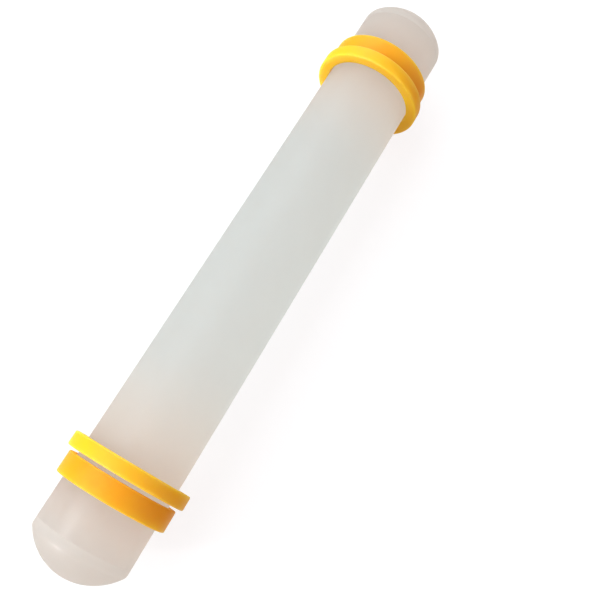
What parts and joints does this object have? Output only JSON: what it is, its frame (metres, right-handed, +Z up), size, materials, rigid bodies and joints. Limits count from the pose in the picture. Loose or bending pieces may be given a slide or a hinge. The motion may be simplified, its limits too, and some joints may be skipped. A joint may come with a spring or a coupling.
{
  "type": "rolling pin",
  "caption": "Small smooth plastic rolling pin with domed ends, carrying removable thick and thin guide rings that slide along the roller to set how thin fondant or dough is rolled.",
  "frame": {"origin": "on the surface that the pin rests on, straight below the middle of the pin", "axes": "+X along the roller towards the right-hand tip, +Z up, +Y across the roller"},
  "size_m": [0.2286, 0.0404, 0.0404],
  "materials": {
    "milky_plastic": "smooth satin, milky white and slightly translucent",
    "yellow_plastic": "satin moulded yellow",
    "orange_plastic": "satin moulded orange"
  },
  "bodies": {
    "roller": {"roller_tube": "milky_plastic", "left_end_cap": "milky_plastic", "right_end_cap": "milky_plastic"},
    "left_thick": {"left_thick_ring": "yellow_plastic"},
    "left_thin": {"left_thin_ring": "orange_plastic"},
    "right_thick": {"right_thick_ring": "yellow_plastic"},
    "right_thin": {"right_thin_ring": "orange_plastic"}
  },
  "joints": [
    {"name": "left_thick_ring_slide", "type": "slide", "parent": "roller", "child": "left_thick", "axis": [-1, 0, 0], "range_m": [-0.076, 0.042]},
    {"name": "left_thin_ring_slide", "type": "slide", "parent": "left_thick", "child": "left_thin", "axis": [-1, 0, 0], "range_m": [-0.0009, 0.036]},
    {"name": "right_thick_ring_slide", "type": "slide", "parent": "roller", "child": "right_thick", "axis": [1, 0, 0], "range_m": [-0.0755, 0.042]},
    {"name": "right_thin_ring_slide", "type": "slide", "parent": "right_thick", "child": "right_thin", "axis": [1, 0, 0], "range_m": [0, 0.037]}
  ]
}
